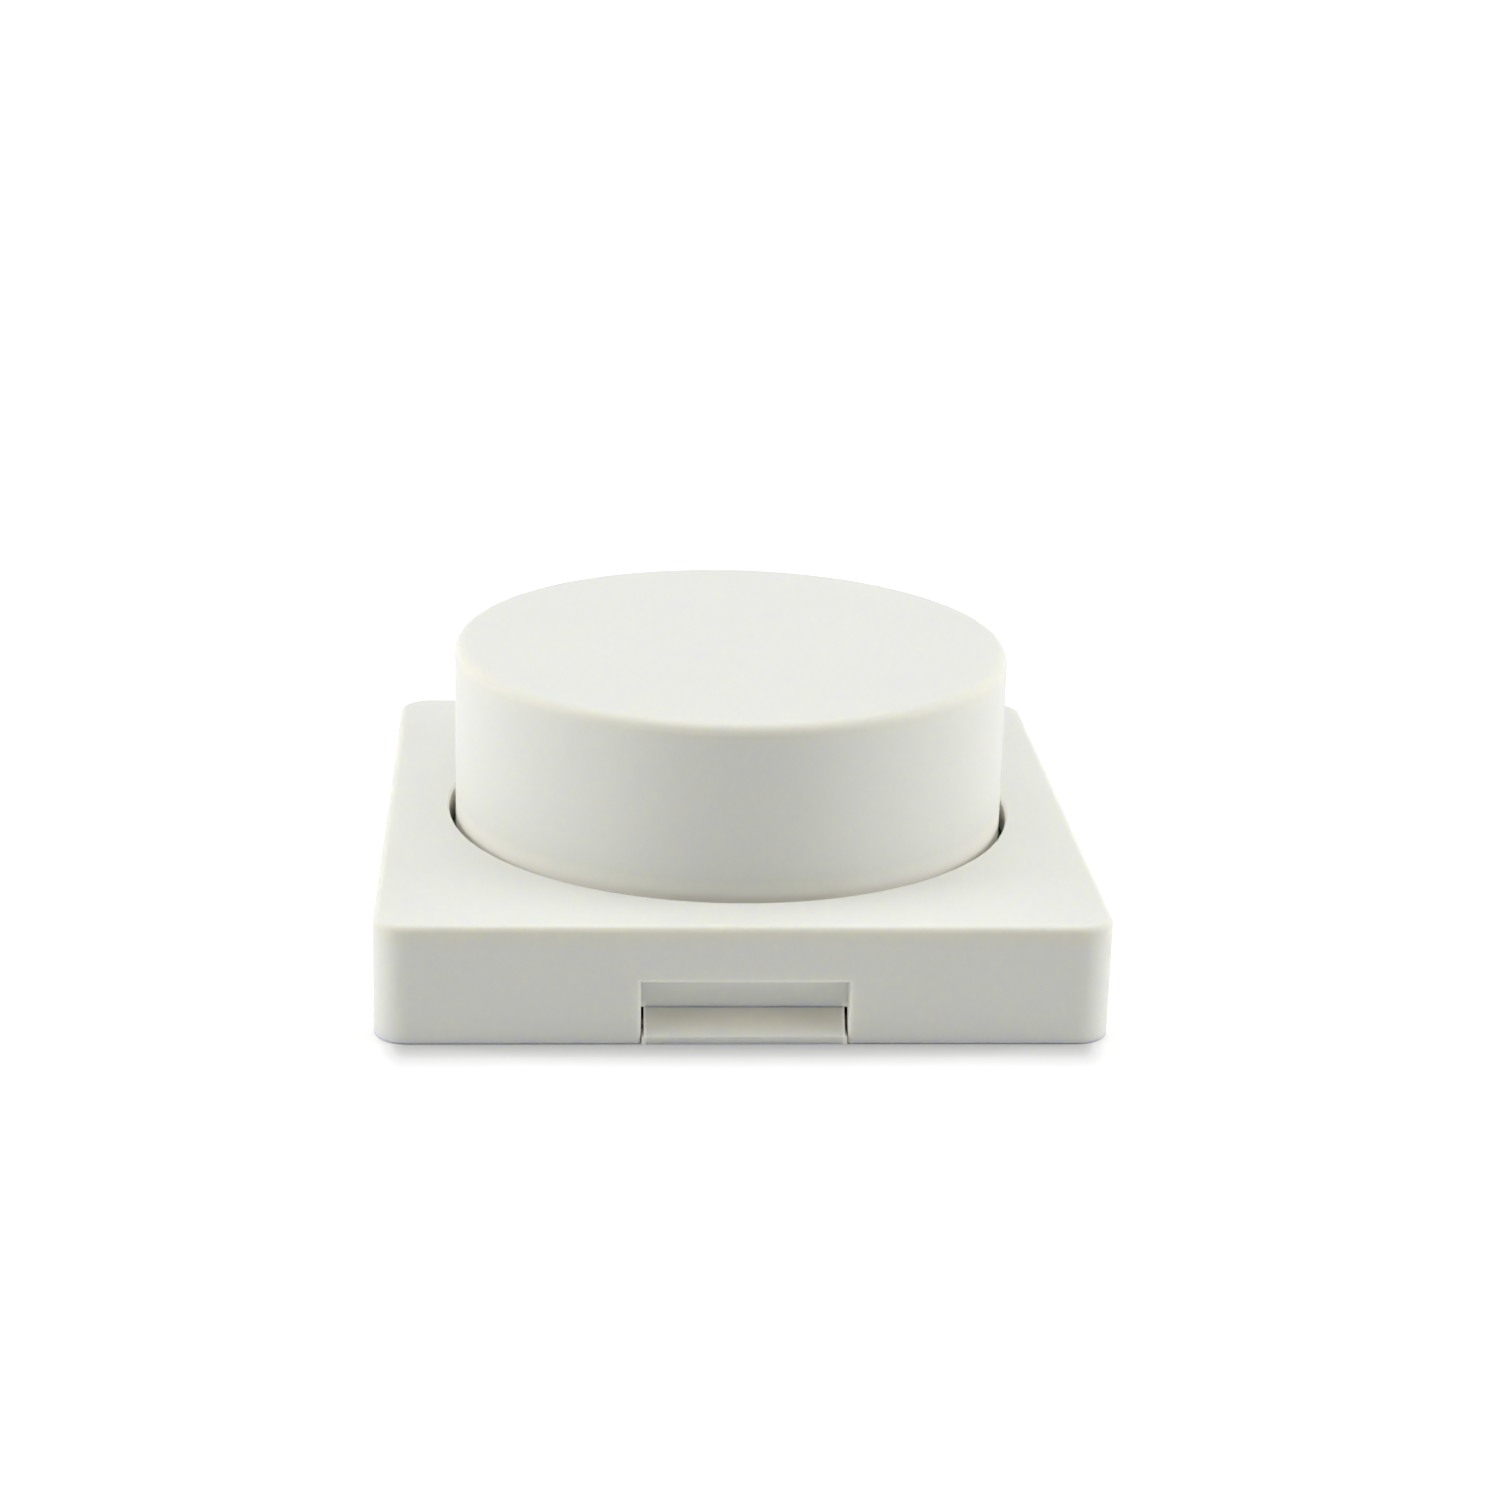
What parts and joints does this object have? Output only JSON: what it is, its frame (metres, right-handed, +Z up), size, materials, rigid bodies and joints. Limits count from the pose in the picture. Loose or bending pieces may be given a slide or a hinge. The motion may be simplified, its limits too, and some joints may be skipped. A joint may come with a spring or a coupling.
{
  "type": "rotary push knob switch",
  "caption": "Flat square battery-powered wall or table switch with one large plain round knob that turns without limit and is pressed, and a lever-off notch at the front.",
  "frame": {"origin": "centre of the underside, on the surface the switch stands on or is fixed to", "axes": "+Z up through the knob's axis, -Y towards the wall with the lever-off notch, +X to the right"},
  "size_m": [0.047, 0.047, 0.0198],
  "materials": {
    "housing_plastic": "fine moulded satin",
    "cover_plastic": "fine moulded satin",
    "knob_plastic": "fine moulded satin",
    "spring_steel": "rolled spring sheet",
    "shaft_metal": "turned",
    "cast_metal": "die-cast",
    "frame_steel": "tin-plated sheet",
    "black_plastic": "moulded",
    "rotor_plastic": "natural acetal",
    "contact_metal": "plated contact sheet",
    "lead_metal": "tin-plated",
    "plunger_plastic": "moulded",
    "board_laminate": "solder mask",
    "screw_steel": "zinc-plated",
    "radio_laminate": "solder mask",
    "chip_plastic": "moulded",
    "shield_metal": "tin-plated drawn can",
    "capacitor_plastic": "moulded",
    "chip_ceramic": "fired body",
    "cell_metal": "plated can",
    "retainer_steel": "nickel-plated sheet"
  },
  "bodies": {
    "base": {"housing": "housing_plastic", "back_cover": "cover_plastic", "encoder_bushing": "cast_metal", "encoder_frame": "frame_steel", "encoder_case": "black_plastic", "encoder_contacts": "contact_metal", "detent_spring": "spring_steel", "encoder_terminals": "lead_metal", "switch_dome": "spring_steel", "switch_contacts": "contact_metal", "main_board": "board_laminate", "board_screws": "screw_steel", "radio_board": "radio_laminate", "radio_chip": "chip_plastic", "radio_shield": "shield_metal", "buffer_capacitor": "capacitor_plastic", "chip_components": "chip_ceramic", "coin_cell": "cell_metal", "battery_retainer": "retainer_steel", "battery_contact": "contact_metal"},
    "rotor": {"encoder_rotor": "rotor_plastic", "encoder_wiper": "contact_metal"},
    "knob": {"encoder_shaft": "shaft_metal", "knob_cap": "knob_plastic", "knob_spring_clip": "spring_steel"},
    "plunger": {"switch_plunger": "plunger_plastic"}
  },
  "joints": [
    {"name": "knob_turn", "type": "hinge", "parent": "base", "child": "rotor", "pos_m": [0, 0, 0], "axis": [0, 0, 1], "continuous": true},
    {"name": "knob_press", "type": "slide", "parent": "rotor", "child": "knob", "axis": [0, 0, -1], "range_m": [0, 0.0005], "stiffness_N_per_m": 2000, "springref_m": -0.0015},
    {"name": "plunger_press", "type": "slide", "parent": "base", "child": "plunger", "axis": [0, 0, -1], "range_m": [0, 0.0005], "deforming": ["switch_dome"]}
  ],
  "couplings": [
    {"joint": "plunger_press", "follows": "knob_press", "ratio": 1}
  ]
}
